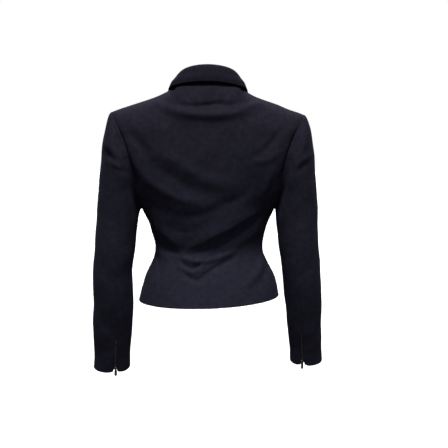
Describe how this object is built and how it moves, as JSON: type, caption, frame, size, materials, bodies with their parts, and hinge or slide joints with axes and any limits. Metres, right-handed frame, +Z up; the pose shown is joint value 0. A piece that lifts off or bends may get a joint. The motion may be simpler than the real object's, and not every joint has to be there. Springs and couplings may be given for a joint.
{
  "type": "wool blazer",
  "caption": "Woman's cropped dark navy wool blazer, filled out as when worn, with folded collar, notched lapels, a buttoned front and zipped cuffs.",
  "frame": {"origin": "midway between the wearer's shoulders, level with the sides of the neck: where the wearer's shoulders hold the blazer up", "axes": "+Z up, -Y towards the front of the garment, +X towards the wearer's left"},
  "size_m": [0.516, 0.2444, 0.6864],
  "materials": {
    "wool": "dark navy woollen cloth, closely woven with a short soft nap",
    "zip": "darkened metal with bright worn edges",
    "button": "dark horn, smooth with a low sheen"
  },
  "bodies": {
    "root": {"back_left": "wool", "back_right": "wool", "front_left": "wool", "front_right": "wool", "lapel_left": "wool", "lapel_right": "wool", "collar": "wool", "top_sleeve_left": "wool", "under_sleeve_left": "wool", "top_sleeve_right": "wool", "under_sleeve_right": "wool", "zip_left": "zip", "zip_right": "zip", "zip_slider_left": "zip", "zip_slider_right": "zip", "button_1": "button", "button_2": "button", "button_3": "button"},
    "pull_left": {"zip_pull_left": "zip"},
    "pull_right": {"zip_pull_right": "zip"}
  },
  "joints": [
    {"name": "pull_left_swing", "type": "hinge", "parent": "root", "child": "pull_left", "pos_m": [0.20637, -0.00413, -0.59491], "axis": [0.967, 0.2549, 0], "range_deg": [-25, 165]},
    {"name": "pull_right_swing", "type": "hinge", "parent": "root", "child": "pull_right", "pos_m": [-0.20871, -0.00201, -0.57828], "axis": [0.9626, -0.2711, 0], "range_deg": [-25, 165]}
  ]
}
